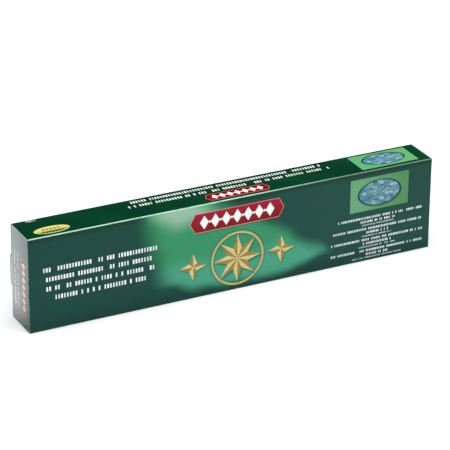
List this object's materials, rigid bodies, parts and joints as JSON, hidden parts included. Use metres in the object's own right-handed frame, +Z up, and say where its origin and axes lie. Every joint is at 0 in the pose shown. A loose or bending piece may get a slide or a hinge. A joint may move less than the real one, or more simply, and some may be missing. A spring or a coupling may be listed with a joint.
{
  "type": "rotating word game board",
  "caption": "Long printed tuck-end carton that holds a wooden game-board turntable: crossing bars with turned ends and a ball-bearing swivel.",
  "frame": {"origin": "middle of the outside of the carton's base panel, on the surface that it stands on", "axes": "+X along the carton's length to the right, +Y from the front panel to the back panel, +Z up"},
  "size_m": [0.41, 0.0419, 0.092],
  "materials": {
    "printed_card": "green printed folding boxboard with a gloss varnish, pale grey-white inside",
    "bar_wood": "pale lacquered hardwood",
    "button_wood": "turned pale hardwood, lacquered",
    "dowel_wood": "plain fluted beech",
    "disc_wood": "pale lacquered hardwood",
    "plate_steel": "pressed zinc-plated steel",
    "bright_steel": "bright steel",
    "screw_steel": "zinc-plated steel",
    "cage_plastic": "natural moulded plastic",
    "pad_rubber": "soft black rubber",
    "leaflet_paper": "folded uncoated paper"
  },
  "bodies": {
    "carton": {"carton_sleeve": "printed_card", "cross_arm_bar": "bar_wood", "swivel_arm_bar": "bar_wood", "button_dowels": "dowel_wood", "swivel_upper_plate": "plate_steel", "swivel_rivet": "bright_steel", "arm_screws": "screw_steel", "instruction_leaflet": "leaflet_paper", "cross_arm_left_button": "button_wood", "swivel_arm_left_button": "button_wood", "cross_arm_right_button": "button_wood", "swivel_arm_right_button": "button_wood"},
    "left_closure": {"left_closure_panel": "printed_card"},
    "left_tuck": {"left_tuck_flap": "printed_card"},
    "left_top_dust": {"left_top_dust_flap": "printed_card"},
    "left_bottom_dust": {"left_bottom_dust_flap": "printed_card"},
    "right_closure": {"right_closure_panel": "printed_card"},
    "right_tuck": {"right_tuck_flap": "printed_card"},
    "right_top_dust": {"right_top_dust_flap": "printed_card"},
    "right_bottom_dust": {"right_bottom_dust_flap": "printed_card"},
    "swivel_base": {"swivel_lower_plate": "plate_steel", "swivel_base_disc": "disc_wood", "base_screws": "screw_steel", "foot_pads": "pad_rubber"},
    "ball_ring": {"swivel_balls": "bright_steel", "swivel_ball_cage": "cage_plastic"}
  },
  "joints": [
    {"name": "left_closure_hinge", "type": "hinge", "parent": "carton", "child": "left_closure", "pos_m": [-0.205, -0.01925, 0.046], "axis": [0, 0, 1], "range_deg": [0, 180]},
    {"name": "left_tuck_crease", "type": "hinge", "parent": "left_closure", "child": "left_tuck", "pos_m": [-0.205, 0.01805, 0.046], "axis": [0, 0, 1], "range_deg": [0, 45]},
    {"name": "left_top_dust_crease", "type": "hinge", "parent": "carton", "child": "left_top_dust", "pos_m": [-0.20395, 0, 0.092], "axis": [0, 1, 0], "range_deg": [0, 90]},
    {"name": "left_bottom_dust_crease", "type": "hinge", "parent": "carton", "child": "left_bottom_dust", "pos_m": [-0.20395, 0, 0], "axis": [0, -1, 0], "range_deg": [0, 90]},
    {"name": "right_closure_hinge", "type": "hinge", "parent": "carton", "child": "right_closure", "pos_m": [0.205, -0.01925, 0.046], "axis": [0, 0, -1], "range_deg": [0, 180]},
    {"name": "right_tuck_crease", "type": "hinge", "parent": "right_closure", "child": "right_tuck", "pos_m": [0.205, 0.01805, 0.046], "axis": [0, 0, -1], "range_deg": [0, 45]},
    {"name": "right_top_dust_crease", "type": "hinge", "parent": "carton", "child": "right_top_dust", "pos_m": [0.20395, 0, 0.092], "axis": [0, -1, 0], "range_deg": [0, 90]},
    {"name": "right_bottom_dust_crease", "type": "hinge", "parent": "carton", "child": "right_bottom_dust", "pos_m": [0.20395, 0, 0], "axis": [0, 1, 0], "range_deg": [0, 90]},
    {"name": "swivel_turn", "type": "hinge", "parent": "carton", "child": "swivel_base", "pos_m": [0, 0.0069, 0.0449], "axis": [0, 1, 0], "continuous": true},
    {"name": "ball_ring_turn", "type": "hinge", "parent": "carton", "child": "ball_ring", "pos_m": [0, 0.0069, 0.0449], "axis": [0, 1, 0], "continuous": true}
  ],
  "couplings": [
    {"joint": "left_tuck_crease", "follows": "left_closure_hinge", "ratio": 0.25},
    {"joint": "left_top_dust_crease", "follows": "left_closure_hinge", "ratio": 0.5},
    {"joint": "left_bottom_dust_crease", "follows": "left_closure_hinge", "ratio": 0.5},
    {"joint": "right_tuck_crease", "follows": "right_closure_hinge", "ratio": 0.25},
    {"joint": "right_top_dust_crease", "follows": "right_closure_hinge", "ratio": 0.5},
    {"joint": "right_bottom_dust_crease", "follows": "right_closure_hinge", "ratio": 0.5},
    {"joint": "ball_ring_turn", "follows": "swivel_turn", "ratio": 0.5}
  ]
}
